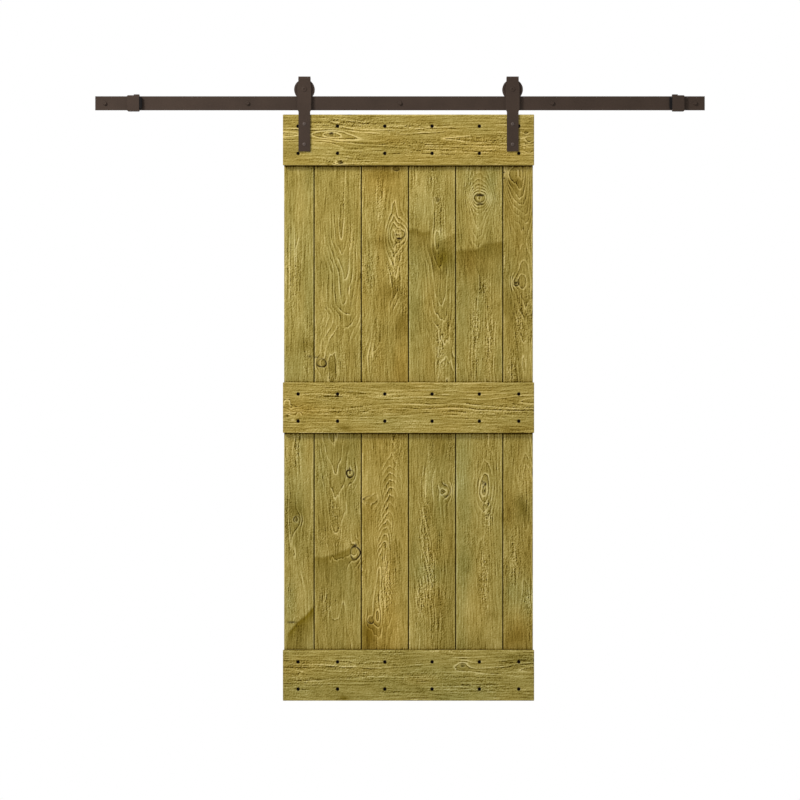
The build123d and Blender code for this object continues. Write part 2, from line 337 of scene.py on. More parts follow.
def wood(name):
    """Knotty pine under an olive stain, with its grain partly painted as if lit from one side: everything
    follows the boards' own point attributes.
    """
    n = Nodes(name)
    off_centre, heart, sharp = n.attribute("rings")
    across, depth, along = n.attribute("flow")
    wobble, figure, steep = n.attribute("figure")
    # The stain attribute also carries painted highlights and shadows in its tone, and painted shade round
    # the screws in its crack values.
    tone, tint, crack_and_shade = n.attribute("stain")
    speckle, joint_shade, wash = n.attribute("pores_and_shade")
    reach = RIDGE[-1][0]
    grain = n.add("CombineXYZ", {0: across, 1: depth, 2: along}).outputs[0]

    def fine(often):
        return n.stretch(grain, often[0], often[0], often[1])

    def swing(noise, most):
        return n.spread(noise, 0.25, 0.75, -most, most)

    streak = n.noise(fine(STREAK), detail=4.0, roughness=0.7)
    # The fibres and dashes are embossed: a painted highlight on one side of each and painted shade on the
    # other.
    fibre = n.embossed(fine(FIBRE), (0.55, 0.3, 0.02))
    dash = n.embossed(fine(DASH), (0.6, 0.3, 0.34))
    hair = n.noise(fine(HAIR), detail=3.0, roughness=0.6)
    mottle = n.noise(fine(MOTTLE))
    drift = n.noise(fine(DRIFT), detail=1.0)
    strong = n.noise(fine(STRONG))
    lines = n.math("SINE", n.math("MULTIPLY_ADD", across, LINES, n.math("MULTIPLY", drift, 30.0)))
    lines = n.math("MULTIPLY", lines, n.spread(strong, 0.35, 0.7))

    # The same count as ring_number's.
    square = n.math("MULTIPLY", off_centre, off_centre)
    sideways = n.math("SUBTRACT", n.math("SQRT", n.math("ADD", square, BLUNT**2)), BLUNT)
    pointed = n.math("MULTIPLY", n.math("MULTIPLY", sideways, heart), n.math("MULTIPLY", sharp, 2.0))
    square = n.math("ADD", square, n.math("MULTIPLY_ADD", heart, heart, pointed))
    rings = n.math("ADD", n.math("SQRT", square), wobble)
    rings = n.math("ADD", rings, n.spread(dash, -0.3, 0.3, -0.02, 0.02))
    off_ring = n.math("DIVIDE", n.math("SUBTRACT", n.math("FRACT", rings), 0.5), steep)
    stops = [(0.5 + off / (2 * reach), bright) for off, bright in RIDGE]
    ridge = n.math("SUBTRACT", n.ramp(n.spread(off_ring, -reach, reach), stops), 0.5)

    # The ridges and fibres make the bump and also paint a highlight and shade into the colour.
    height = n.math("MULTIPLY_ADD", ridge, figure, 0.5)
    height = n.math("MULTIPLY_ADD", fibre, n.math("MULTIPLY_ADD", speckle, 0.7, 0.4), height)
    height = n.math("ADD", height, swing(hair, 0.14))
    value = n.math("ADD", height, n.math("MULTIPLY", lines, 0.12))
    value = n.math("MULTIPLY_ADD", dash, n.math("ADD", speckle, 0.42), value)
    value = n.math("ADD", value, swing(streak, 0.09))
    value = n.math("ADD", value, swing(mottle, 0.06))
    colour = n.ramp(n.math("ADD", value, tone), WOOD_COLOURS)

    # A mix keeps its factor between nought and one.
    colour = n.mix(tint, colour, COOL, "MULTIPLY")
    colour = n.mix(n.math("MULTIPLY", tint, -1.0), colour, WARM, "MULTIPLY")
    colour = n.mix(n.math("MULTIPLY", wash, 3.0), colour, WASHED, "MULTIPLY")
    # Cracks and knot rims, and the painted shade round the screw seats.
    colour = n.mix(crack_and_shade, colour, CRACK_AND_SHADE)
    # Painted shade inside the joints.
    colour = n.mix(joint_shade, colour, JOINT_SHADE, "MULTIPLY")
    dull, smooth = 0.74, 0.60
    n.bump(height, 0.25, 0.5 * MM)
    return n.finish(colour, n.spread(value, 0.2, 0.9, dull, smooth), specular=0.05)


def painted(name, colour, roughness, specular=0.12, grit=1.0):
    """Powder-coated steel: a fine speckle, faint clouds and a gritty surface, with a painted highlight and a
    glossier finish where a piece's point attribute asks for one.
    """
    n = Nodes(name)
    fine = n.noise(n.place, 900.0 * grit, 2.0, 0.6)
    clouds = n.noise(n.place, 14.0, 3.0)
    spread = 0.22
    lighter = [min(1, c * (1 + spread)) for c in colour[:3]] + [1]
    darker = [c * (1 - spread) for c in colour[:3]] + [1]
    glint_colour, glint = linear(112, 100, 94), n.attribute("glint")[0]
    shade = n.math("ADD", n.spread(fine, 0.3, 0.7, -0.5, 0.5), n.spread(clouds, 0.3, 0.7, 0.3, 0.7))
    shade = n.ramp(shade, [(0.0, darker), (1.0, lighter)])
    rough = n.spread(fine, 0.3, 0.7, roughness - 0.06, roughness + 0.08)
    n.bump(fine, 0.25, 0.15 * MM)
    # The painted highlight: lighter colour and lower roughness where the attribute is set.
    return n.finish(n.mix(glint, shade, glint_colour), n.math("MULTIPLY_ADD", glint, -0.2, rough), specular)


MATERIALS = {
    "stained_plank": wood("stained_plank"),
    "stained_rail": wood("stained_rail"),
    "bronze_steel": painted("bronze_steel", linear(60, 48, 40), 0.50),
    "roller_steel": painted("roller_steel", linear(58, 46, 39), 0.46),
    "dark_fastener": painted("dark_fastener", linear(8, 6, 7), 0.6, specular=0.02),
    "bush_bronze": painted("bush_bronze", linear(150, 116, 66), 0.35, specular=0.5),
    "rubber_pad": painted("rubber_pad", linear(22, 20, 20), 0.75, specular=0.08, grit=0.4),
}

NODE_SLOT = {part["node"]: part["material_slot"] for part in frame["record"]["subparts"]}
NODE_BODY = {n: body for body, nodes in frame["record"]["behaviour"]["bodies"].items() for n in nodes}


def stands_for(obj, node):
    """The piece takes the place, the motion and the finish of a CAD node."""
    slot = NODE_SLOT[node]
    obj.data.materials.clear()
    obj.data.materials.append(MATERIALS[slot])
    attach(obj, NODE_BODY[node])
    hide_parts(node)
    return obj


# Wood

KNOT_STRETCH = 2.2  # how much longer than wide the grain bends round a knot

# What shows in each board, in the photograph's pixels: across is the column on a plank, but the row on a
# rail, and along is the other one. A tone below nought is a darker, browner stain.
# base: the board's (tone, coolness)
# down, up: the tips (across, along) of the grain's loops, which point to higher and to lower along
# knots: (across, along, half width, half length, dark rim, degrees of its darkest side, dark core)
# streaks: rough stretches (across, along, length)
# patches, tints: (across, along, reach across, reach along, tone or coolness)
# washes: (from, to, where the sharp edge lies along at both, how far it fades, tone)
# cracks: (across, along, half length)
# mounds: (across, along, reach across, reach along, rings), round which the rings close
# ring, sharp: (along, pixels from ring to ring) and (along, how pointed the loops are)
# figure, loops, reach, run: how clear the rings are, how much clearer at a tip, how far across and along
# speckle, dashes: how rough the wood is, and how much rougher in a streak
PLAIN = dict(
    ring=[(0, 3.0)], sharp=[(0, 0.15)], figure=0.13, loops=1.1, reach=6.0, run=14, speckle=0.08, dashes=1.1,
    knots=[], washes=[], cracks=[],
)
RAIL = dict(figure=0.24, run=26, speckle=0.15, dashes=0.6)
FEATURES = {}
FEATURES["plank_1"] = dict(
    base=(0, 0.15), dashes=0.5,
    mounds=[(296.8, 519.6, 4, 5, -1.2)],
    down=[(296, 250), (292, 545)],
    up=[(297, 590)],
    knots=[(296.8, 519.6, 3.2, 3, 0.45, 215, 0.5)],
    streaks=[(292.6, 296, 40), (297, 452, 44), (290, 600, 26), (288, 262, 30)],
    patches=[(299, 545, 30, 60, -0.09), (305, 346, 7, 5, -0.22), (300, 181, 9, 6, -0.08),
             (302, 583, 7, 16, 0.1), (297, 512, 6, 9, -0.1), (290, 372, 4, 8, 0.08)],
    washes=[(286, 315, (634, 606), 24, -0.32)],
    tints=[(288, 370, 8, 14, 0.5), (290, 505, 8, 26, 0.6), (308, 300, 5, 60, 0.3)],
    cracks=[(310, 357.4, 3), (291.6, 623, 5)],
)
FEATURES["plank_2"] = dict(
    base=(-0.04, 0), reach=8, run=18, dashes=0.4,
    mounds=[(321.5, 363, 5.5, 5, -0.8), (350, 474, 5, 7, -0.6), (355, 553, 6, 8, -1.4)],
    down=[(341, 237), (342, 251), (346, 273), (342, 307), (347, 314), (334, 382), (334, 442),
          (337, 475), (336, 496), (339, 550), (336.5, 567)],
    up=[(334, 341), (336.5, 605), (336.5, 636)],
    knots=[(321.5, 363, 4.6, 4, 0.9, 45, 0), (350, 473.8, 3.7, 3.7, 1.3, 150, 0),
           (355.2, 553.2, 4.8, 6.2, 1.2, 0, 0)],
    streaks=[(343, 192, 34), (336, 520, 30), (325, 600, 20)],
    patches=[(337, 545, 30, 70, -0.06), (328, 366, 8, 6, -0.2), (352, 352, 5, 8, -0.1),
             (338, 446, 14, 7, -0.12), (343, 520, 4, 14, 0.14), (349, 545, 7, 5, 0.14),
             (337, 620, 3, 18, 0.1)],
    washes=[(316, 358, (559, 549), 18, -0.22)],
    tints=[(352, 460, 6, 30, 0.5), (322, 470, 8, 24, 0.4), (340, 600, 16, 30, 0.2)],
    cracks=[(316.8, 357.4, 2.5), (349.2, 467.9, 0.9), (355.4, 545.6, 1.8)],
)
FEATURES["plank_3"] = dict(
    ring=[(430, 4), (455, 1.5), (580, 1.5), (605, 4)], base=(-0.02, -0.45),
    sharp=[(430, 0.8), (455, 0)], reach=4.5,
    mounds=[(399, 234, 6.5, 8, -2.4), (378, 618, 3, 8, -1.6), (370.7, 621, 3, 4, -1)],
    down=[(395, 250), (395, 266), (395, 292), (371, 357), (377, 609), (377, 638)],
    up=[(395, 213), (395, 224), (390, 461), (390, 468), (390, 475), (390, 482), (390, 490), (389, 498),
        (389, 506), (388, 514), (388, 521), (385, 529), (385, 535), (385, 543), (382, 550), (379, 571)],
    knots=[(396.3, 168.4, 3, 1.9, 0.45, 90, 0.3), (400, 234, 5, 4.2, 0.4, 60, 0.25),
           (371, 499.8, 6.8, 3.8, 0.22, 180, 0), (370.7, 621.4, 2.8, 2.6, 0.6, 90, 0)],
    streaks=[(380, 200, 30), (386, 580, 40), (392, 268, 24), (398, 250, 20)],
    patches=[(385, 173, 16, 4, -0.16), (386, 241, 13, 5, -0.2), (393, 292, 8, 7, -0.2),
             (397, 268, 4, 6, 0.14), (402, 323, 5, 9, -0.22), (376, 332, 6, 5, -0.12),
             (402, 373, 5, 8, -0.1), (368, 636, 7, 13, -0.3), (375, 540, 6, 26, 0.08),
             (371, 500.5, 5, 2.4, -0.12)],
    washes=[(362, 402, (498, 498), 7, -0.1)],
    tints=[(385, 180, 14, 16, -0.5), (402, 373, 8, 20, -0.6), (385, 633, 12, 20, -0.9),
           (372, 250, 6, 60, 0.35)],
    cracks=[(399, 238.5, 3), (363.6, 499.5, 1.2)],
)
FEATURES["plank_4"] = dict(
    base=(-0.04, 0.05),
    mounds=[(445.4, 491.3, 5, 5.5, -2.2)],
    down=[(437, 252), (439, 264), (441, 308), (442, 322), (445, 344), (429, 488), (450, 612)],
    up=[(437, 226), (446.5, 358), (448, 376)],
    knots=[(436.8, 199.3, 2.2, 2.2, 0.3, 0, 0.4), (445.4, 491.3, 5.4, 5, 0.35, 45, 0)],
    streaks=[(425, 540, 40), (430, 580, 40), (440, 350, 40), (420, 600, 30)],
    patches=[(422, 198, 9, 16, 0.1), (446, 236, 7, 4, 0.08), (444, 258, 9, 9, -0.24),
             (439, 268, 4, 4, -0.1), (443, 447, 10, 10, -0.2), (428, 483, 4, 7, 0.12),
             (452, 560, 3, 50, -0.14), (443, 608, 5, 9, -0.14), (411, 560, 3, 20, -0.14)],
    washes=[(408, 431, (231, 231), 10, -0.3), (431, 456, (248, 232), 26, -0.16)],
    tints=[(415, 262, 8, 14, 0.7), (412, 308, 6, 26, 0.7), (446, 470, 8, 40, 0.5), (446, 262, 8, 10, 0.5),
           (435, 548, 9, 16, -0.7), (432, 573, 9, 8, 0.8), (412, 560, 4, 20, 0.5)],
    cracks=[(444.9, 484.9, 1.8), (442.7, 491.3, 1)],
)
FEATURES["plank_5"] = dict(
    base=(-0.02, 0.05), ring=[(0, 2.6)], loops=0.6,
    mounds=[(480.3, 197.5, 7.5, 6.5, -3.6), (484.4, 485, 3.2, 8, -0.7), (483, 494, 3, 4, -0.6)],
    down=[(480, 209), (479, 222), (478, 236), (478, 247), (482.7, 272), (483, 502.5), (483, 511)],
    up=[(480, 172), (480, 178), (480, 184), (483.6, 376), (484, 451), (485, 476), (484, 531)],
    knots=[(480.3, 197.2, 6.5, 4.6, 0.15, 90, 0), (484.3, 484.4, 1.8, 2.2, 0.3, 270, 0.6),
           (483.5, 492, 1.2, 1.5, 0.2, 0, 0.5)],
    streaks=[(475, 330, 50), (489, 340, 50), (484, 288, 16), (488, 515, 24), (484, 575, 40)],
    patches=[(482, 204, 7, 4, -0.16), (475, 224, 6, 9, 0.12), (482, 308, 14, 16, 0.06),
             (488, 183, 8, 7, -0.06), (483, 493, 4, 6, 0.1), (475, 608, 8, 16, 0.1),
             (490.5, 616, 3, 4, -0.16), (478, 643, 12, 6, -0.1)],
    washes=[(457, 503, (252, 240), 32, -0.26)],
    tints=[(493, 183, 6, 14, 0.8), (461, 305, 6, 24, 0.8), (462, 530, 6, 90, 0.9),
           (478, 262, 22, 10, -0.4), (475, 608, 10, 20, -0.5)],
    cracks=[(480.3, 194.6, 5), (480.3, 195.4, 3.5), (480.3, 203.3, 3.2), (482.6, 481.5, 0.8),
            (485.6, 484.5, 0.9), (483.4, 487.5, 0.8), (485, 490.5, 0.7)],
)
FEATURES["plank_6"] = dict(
    base=(-0.05, -0.15), ring=[(0, 2.6)], loops=0.6,
    mounds=[(513, 174, 7, 11, -3), (518.5, 281.5, 5, 6, -1.8)],
    down=[(520, 195), (521, 203), (523, 211), (524, 219), (524.5, 227), (526, 305), (525, 316),
          (523.9, 341), (526, 535)],
    up=[(524, 251), (524, 265), (524, 360), (525.5, 457), (527, 470), (525, 587)],
    knots=[(513, 174, 4.5, 5, 0, 0, 0), (516.3, 282.3, 3, 3.2, 0.5, 100, 0.5)],
    streaks=[(519, 323, 30), (514, 560, 40), (528, 600, 16), (512, 372, 24)],
    patches=[(512, 184, 8, 6, -0.18), (518, 230, 12, 34, -0.08), (508, 308, 4, 20, -0.16),
             (526, 300, 5, 6, -0.12), (521, 510, 6, 9, -0.24), (525, 478, 6, 10, 0.12),
             (530, 603, 3, 5, 0.2), (516, 638, 11, 9, -0.18)],
    tints=[(524, 509, 8, 10, 0.5), (518, 588, 10, 16, 0.9), (528, 606, 5, 10, 0.6),
           (517, 638, 12, 12, -0.5)],
    cracks=[(516.3, 282.4, 1.6), (504, 172, 1.5), (504.5, 178, 1.2)],
)
FEATURES["rail_top"] = dict(
    RAIL,
    base=(-0.03, -0.25),
    mounds=[(134.3, 331.3, 2.5, 8, -1), (162.4, 340.5, 2, 6, -1), (133, 526, 1.7, 2.4, 1),
            (141, 529, 1.6, 2.2, -1), (147, 524, 1.7, 2.2, 1), (152, 529, 1.5, 2.4, -1)],
    down=[(134, 294), (139, 356)],
    up=[(134.5, 324), (138, 440)],
    knots=[(134.3, 331.3, 1.3, 1.8, 0.4, 180, 0.3), (162.4, 340.5, 1.2, 2, 0.4, 0, 0.4),
           (142.6, 526.6, 1.4, 1.6, 0.2, 0, 0.2)],
    streaks=[(128, 400, 60), (152, 450, 70), (140, 470, 60), (122, 350, 50)],
    patches=[(150, 292, 6, 8, -0.1), (124, 528, 7, 6, -0.14)],
    tints=[(150, 480, 10, 60, -0.3)],
    cracks=[(133, 331, 1), (162, 341, 1)],
)
FEATURES["rail_middle"] = dict(
    RAIL,
    base=(-0.03, -0.3),
    mounds=[(402, 287, 1.6, 2.4, 1), (409, 291, 1.7, 2.2, -1), (415, 287, 1.6, 2.4, 1),
            (406, 298, 1.6, 2.6, -1), (413, 299, 1.5, 2.4, 1), (420, 293, 1.6, 2.6, -1)],
    down=[(402, 430)],
    up=[(402, 473), (401, 525)],
    streaks=[(410, 470, 50), (409, 520, 30), (396, 340, 50), (411, 350, 60)],
    patches=[(429, 344, 2, 5, -0.25), (424, 415, 4, 10, 0.06)],
    tints=[(420, 400, 8, 40, 0.2)],
)
FEATURES["rail_bottom"] = dict(
    RAIL,
    base=(-0.07, 0.35),
    mounds=[(664.5, 463, 3, 6, -1)],
    down=[(672, 330)],
    up=[(670, 473), (669, 525)],
    knots=[(664.5, 463, 1.8, 2.2, 0.4, 0, 0.3)],
    streaks=[(682, 304, 20), (676, 420, 70), (665, 360, 50), (688, 470, 50)],
    patches=[(697, 345, 3, 5, -0.3), (690, 300, 8, 20, -0.06)],
    tints=[(668, 300, 8, 20, -0.6), (690, 440, 10, 60, 0.4)],
)


def value_noise(across, along, size_across, size_along, seed):
    """Smooth seeded noise over a board, with a spread of about one."""
    cells = 256
    heights = np.random.default_rng(seed).standard_normal((cells, cells))
    u, v = across / size_across, along / size_along
    i, j = np.floor(u).astype(int), np.floor(v).astype(int)
    u, v = u - i, v - j
    u, v = u * u * (3 - 2 * u), v * v * (3 - 2 * v)

    def corner(a, b):
        return heights[(i + a) % cells, (j + b) % cells]

    near = corner(0, 0) * (1 - u) + corner(1, 0) * u
    far = corner(0, 1) * (1 - u) + corner(1, 1) * u
    return near * (1 - v) + far * v


def bell(distance, reach):
    """One at the middle, falling off softly."""
    return np.exp(-0.5 * (distance / reach) ** 2)


def heart_line(features):
    """Where the growth rings' middle lies across a board and how far in front of it, both along the grain.

    The grain's loops end where a ring crosses this line: with the loops that point down the rings get
    wider there, and with those that point up they get narrower.
    """
    tips = [(along, across, 1) for across, along in features["down"]]
    tips += [(along, across, -1) for across, along in features["up"]]
    tips.sort()
    rows, levels, middles = [], [], []
    level, last_way = 0.5, tips[0][2]
    for along, across, way in tips:
        if rows and way == last_way:
            level += way
        elif rows:
            rows.append((rows[-1] + along) / 2)
            levels.append(level + 0.4 * last_way)
            middles.append((middles[-1] + across) / 2)
        rows.append(along)
        levels.append(level)
        middles.append(across)
        last_way = way
    # In pixels: from the last tip to one more ring, from there to the line's end, and half of its smoothing.
    last_ring, margin, kernel = 70, 200, 9
    first_way = tips[0][2]
    rows = [rows[0] - last_ring, *rows, rows[-1] + last_ring]
    levels = [levels[0] - first_way, *levels, levels[-1] + last_way]
    middles = [middles[0], *middles, middles[-1]]
    lift = math.ceil(0.6 - min(levels))
    steps = np.arange(rows[0] - margin, rows[-1] + margin, 1.0)
    soft = bell(np.arange(-kernel, kernel + 1), 3)
    soft /= soft.sum()

    def smooth(values):
        drawn = np.interp(steps, rows, values)
        return np.convolve(np.pad(drawn, kernel, "edge"), soft, "valid")

    return steps, smooth(middles), smooth([v + lift for v in levels])


def ring_number(off_centre, heart, wobble, sharp):
    """Which growth ring a point lies in, counted from the middle, as the wood's material counts it too."""
    sideways = np.hypot(off_centre, BLUNT) - BLUNT
    return np.sqrt(off_centre**2 + heart**2 + 2 * sharp * sideways * heart) + wobble


def grain_at(features, across, along, depth, seed):
    """How many rings each point lies off their middle and in front of it, and how its ring wanders."""
    steps, middles, levels = heart_line(features)
    bent = across.copy()
    for u, v, wide, long, *_ in features["knots"]:
        sideways, lengthways = across - u, along - v
        reach = np.hypot(sideways, lengthways / KNOT_STRETCH * wide / long)
        bent -= 0.8 * sideways * wide**2 / np.maximum(reach**2, wide**2) * bell(reach, 6 * wide)
    pitch = np.interp(along, *zip(*features["ring"]))
    heart = np.interp(along, steps, levels) + depth / pitch
    off_centre = (bent - np.interp(along, steps, middles)) / pitch
    wobble = 0.30 * value_noise(across, along, 8, 55, seed)
    wobble += 0.10 * value_noise(across, along, 2.2, 18, seed + 1)
    for u, v, reach_u, reach_v, count in features["mounds"]:
        wobble += count * bell(across - u, reach_u) * bell(along - v, reach_v)
    return off_centre, heart, wobble


def wood_fields(board, across, along, depth, seed, sides, jointed, covers=()):
    """What the wood is like at each point: its rings, figure, stains and knots, with painted light and shade
    at its edges, in its joints and beside the rails.

    across and along are pixels over the board's face, and depth is pixels below that face. sides are the
    face's two edges across, jointed tells which of them meets another board, and covers are the (from, to)
    stretches along it that a rail lies over.
    """
    features = {**PLAIN, **FEATURES[board]}
    sharp = np.interp(along, *zip(*features["sharp"]))
    off_centre, heart, wobble = grain_at(features, across, along, depth, seed)
    rings = ring_number(off_centre, heart, wobble, sharp)
    nudge = 0.4
    slopes = []
    for moved in ((across + nudge, along), (across, along + nudge)):
        there = ring_number(*grain_at(features, *moved, depth, seed), sharp)
        slopes.append((there - rings) / nudge)
    steep = np.maximum(np.hypot(*slopes), 0.04)

    def ripple(size_across, size_along, step):
        return value_noise(across, along, size_across, size_along, seed + step)

    crack_and_shade, light, inside, wash = (np.zeros_like(across) for _ in range(4))
    flow = across.copy()
    figure = features["figure"] + 0.12 * ripple(6, 70, 3)
    patchy = np.maximum(0.95 + 0.3 * ripple(3, 3, 15), 0.2)
    for u, v, wide, long, rim, darkest, core in features["knots"]:
        sideways, lengthways = across - u, along - v
        turn = np.arctan2(lengthways, sideways)
        reach = np.hypot(sideways / wide, lengthways / long) * (1 + 0.06 * np.cos(3 * turn + u))
        beyond = (reach - 1) * math.sqrt(wide * long)
        facing = 0.5 + 0.5 * np.cos(turn - math.radians(darkest))
        figure += bell(np.maximum(beyond, 0), 3.0) - 0.5 * (beyond < -0.5)
        flow -= sideways * wide**2 / np.maximum(reach**2 * wide**2, wide**2) * bell(reach, 5) * (beyond > 0)
        inside = np.maximum(inside, np.clip(0.5 - beyond, 0, 1))
        crack_and_shade += 1.8 * rim * patchy * (0.25 + 0.75 * facing) * bell(beyond, 0.5)
        crack_and_shade += core * patchy * bell(np.hypot(sideways / 1.4, lengthways), 0.8)
        light += 0.35 * (0.3 + 0.7 * facing) * bell(beyond - 1.1, 0.4) * min(1, rim * 2)
    for u, v, reach_u, reach_v, _ in features["mounds"]:
        figure += 0.7 * bell(across - u, 1.5 * reach_u) * bell(along - v, 1.5 * reach_v)
    loops = np.zeros_like(across)
    for u, v in features["down"] + features["up"]:
        loops = np.maximum(loops, bell(across - u, features["reach"]) * bell(along - v, features["run"]))
    figure += features["loops"] * loops
    figure *= np.clip(0.75 + 0.3 * ripple(2.5, 12, 17), 0.2, 1.2)
    speckle = features["speckle"] + 0.3 * np.clip(ripple(9, 30, 5), 0, 2)
    for u, v, length in features["streaks"]:
        near = bell(across - u, 3.4) * bell(along - v, length / 2)
        speckle += features["dashes"] * near
        figure += 0.4 * near

    ragged_u = across + 1.6 * ripple(7, 10, 11)
    ragged_v = along + 2.0 * ripple(7, 14, 12)
    base_tone, base_tint = features["base"]
    tone = base_tone + light + 0.05 * ripple(12, 40, 7)

    def stain(u, v, reach_u, reach_v, strength):
        return strength * bell(ragged_u - u, reach_u) * bell(ragged_v - v, reach_v)

    for patch in features["patches"]:
        spot = stain(*patch)
        tone += np.maximum(spot, 0)
        wash -= np.minimum(spot, 0)
    lobed = along + 2.2 * ripple(9, 60, 14)
    for start, end, ends, length, strength in features["washes"]:
        below = lobed - np.interp(across, (start, end), ends)
        body = np.clip(below / 3.0 + 0.5, 0, 1) * np.exp(-np.maximum(below, 0) / length)
        within = np.clip((ragged_u - start) / 2 + 1, 0, 1) * np.clip((end - ragged_u) / 2 + 1, 0, 1)
        wash -= strength * body * within * (1 - inside)
    tint = base_tint + 0.18 * ripple(10, 30, 9)
    for patch in features["tints"]:
        tint += stain(*patch)
    for u, v, length in features["cracks"]:
        ragged = 0.4 * ripple(3, 3, 13)
        crack_and_shade += bell(along - v + ragged, 0.6) * bell(across - u, 0.6 * length)

    # Painted light and shade: a painted highlight along both edges of each board's face, brighter on the
    # first, and a painted shadow on the planks below and above each rail.
    front = depth < 0.4
    tone += front * (0.18 * bell(across - sides[0] - 0.5, 0.5) + 0.10 * bell(sides[1] - 0.8 - across, 0.5))
    for start, end in covers:
        tone -= front * 0.85 * bell(np.maximum(along - end, 0), 0.9) * (along > end - 1)
        tone -= front * 0.50 * bell(np.maximum(start - along, 0), 0.6) * (along < start + 1)

    # The back took less of the stain, and is darker along the joints.
    faded, thick = 0.4, depth.max()
    back = depth > thick - 0.1
    seams = zip((across[back].min(), across[back].max()), jointed)
    dark = sum(0.35 * other * bell(across - seam, 0.5) for seam, other in seams)
    tone = np.where(back, faded * tone, tone)
    wash = np.where(back, faded * wash + dark, wash)
    # Painted shade on the plank sides inside the joints.
    between = (depth > 0.3) & (depth < thick - 0.2)
    between &= (along > along.min() + 0.5) & (along < along.max() - 0.5)
    joint_shade = between & np.where(across < np.mean(sides), *jointed)
    return {
        "rings": (off_centre, heart, sharp),
        "flow": (flow, depth, along),
        "figure": (wobble, np.clip(figure, 0.04, 1.2), steep),
        # Besides the stain, the tone holds the painted highlights and shadows.
        "stain": (tone, np.clip(tint, -1, 1), np.clip(crack_and_shade, 0, 1)),
        "pores_and_shade": (np.clip(speckle, 0, 1.2), joint_shade, wash),
    }


def relief(fields):
    """How far the face stands below its highest grain, in metres: the dark lines are the deepest."""
    off_centre, heart, sharp = fields["rings"]
    wobble, figure, steep = fields["figure"]
    crack_and_shade = fields["stain"][2]
    rings = ring_number(off_centre, heart, wobble, sharp)
    places, heights = zip(*RIDGE)
    ridge = np.interp((rings % 1 - 0.5) / steep, places, heights)
    grain_depth, crack_depth = 0.45, 0.9
    return (grain_depth * (1 - ridge) * figure + crack_depth * crack_and_shade) * MM


def spaced(low, high, step, spots=(), fine=None, reach=None):
    """Places from low to high, a step apart, and closer together within reach of the spots."""
    samples = 6000
    steps = np.linspace(low, high, samples)
    density = np.full(samples, 1 / step)
    for spot in spots:
        density = np.where(abs(steps - spot) < reach, 1 / fine, density)
    total = np.concatenate([[0], np.cumsum((density[1:] + density[:-1]) / 2 * np.diff(steps))])
    count = max(2, int(round(total[-1])) + 1)
    return np.interp(np.linspace(0, total[-1], count), total, steps)


def board(name, outline, stations, across_axis, face, seed, jointed, screws=(), covers=(), ease=1.2 * MM):
    """A board as one closed skin: its outline's points are carried along its stations and capped.

    outline is a loop of (across, y) points, stations run along the grain, and face is the y of the front.
    A screw is (x, z, radius) and gets a round sunk seat: the points nearest its edge move onto it.
    """
    seat_depth, snap = 1.6 * MM, 0.8 * MM
    inner, outer, rim_width = 0.1 * MM, 0.9 * MM, 0.25 * MM
    count, length = len(outline), len(stations)
    middle = (outline.min(0) + outline.max(0)) / 2
    half = (outline.max(0) - outline.min(0)) / 2
    eased = middle + (outline - middle) * (half - ease) / half
    rows = [eased, *[outline] * (length - 2), eased]
    places = [stations[0], stations[0] + ease, *stations[2:-2], stations[-1] - ease, stations[-1]]
    across = np.array([ring[:, 0] for ring in rows])
    y = np.array([ring[:, 1] for ring in rows])
    along = np.repeat(np.array(places)[:, None], count, 1)
    x, z = (across, along) if across_axis == "X" else (along, across)
    sunk = np.zeros_like(y)
    on_face = y < face + 0.05 * MM
    for screw_x, screw_z, radius in screws:
        off_x, off_z = x - screw_x, z - screw_z
        reach = np.hypot(off_x, off_z)
        inside = on_face & (reach < radius + inner)
        rim = on_face & ~inside & (reach < radius + outer)
        wall = inside & (reach > radius - snap)
        for which, size in ((wall, radius), (rim, radius + rim_width)):
            x = np.where(which, screw_x + off_x / np.maximum(reach, 1e-9) * size, x)
            z = np.where(which, screw_z + off_z / np.maximum(reach, 1e-9) * size, z)
        sunk = np.where(inside, seat_depth, sunk)
    photo_across, photo_along = (column(x), row(z)) if across_axis == "X" else (row(z), column(x))
    edges = (photo_across[on_face].min(), photo_across[on_face].max())
    fields = wood_fields(name, photo_across, photo_along, (y - face) / PIXEL, seed, edges, jointed, covers)
    tone, tint, crack_and_shade = fields["stain"]
    # Round each screw: a painted dark ring of shade in and round its seat, and a painted highlight on the
    # seat's lit side.
    for screw_x, screw_z, radius in screws:
        outside = np.maximum(np.hypot(x - screw_x, z - screw_z) - radius - 0.5 * MM, 0)
        crack_and_shade = np.maximum(crack_and_shade, on_face * bell(outside, 0.8 * MM))
        lit = bell(x - screw_x - radius - 1.6 * MM, 1.0 * MM) * bell(z - screw_z, 2.5 * MM)
        tone = tone + 0.35 * on_face * lit
        crack_and_shade = crack_and_shade * (1 - 0.6 * on_face * lit)
    fields["stain"] = (tone, tint, crack_and_shade)
    inwards = np.minimum(photo_across - edges[0], edges[1] - photo_across)
    y = y + np.where(on_face, np.maximum(relief(fields), 0) * np.clip(inwards / 1.5, 0, 1) + sunk, 0)
    points = np.stack([x, y, z], -1).reshape(-1, 3)
    obj = add_object(name + "_wood", points, skin_faces(length, count), sharp=40)
    face_outwards(obj)
    for attribute, parts in fields.items():
        add_attribute(obj, attribute, np.stack([np.broadcast_to(p, y.shape) for p in parts], -1))
    return stands_for(obj, name)


def end_outline(node):
    """The loop of (x, y) corners round a plank's upper end."""
    mesh = welded(node)
    top = max(v.co.z for v in mesh.verts)
    cap = max((f for f in mesh.faces if f.normal.z > 0.9), key=lambda f: f.calc_area())
    loop = [(v.co.x, v.co.y) for v in cap.verts if abs(v.co.z - top) < MM]
    mesh.free()
    return loop


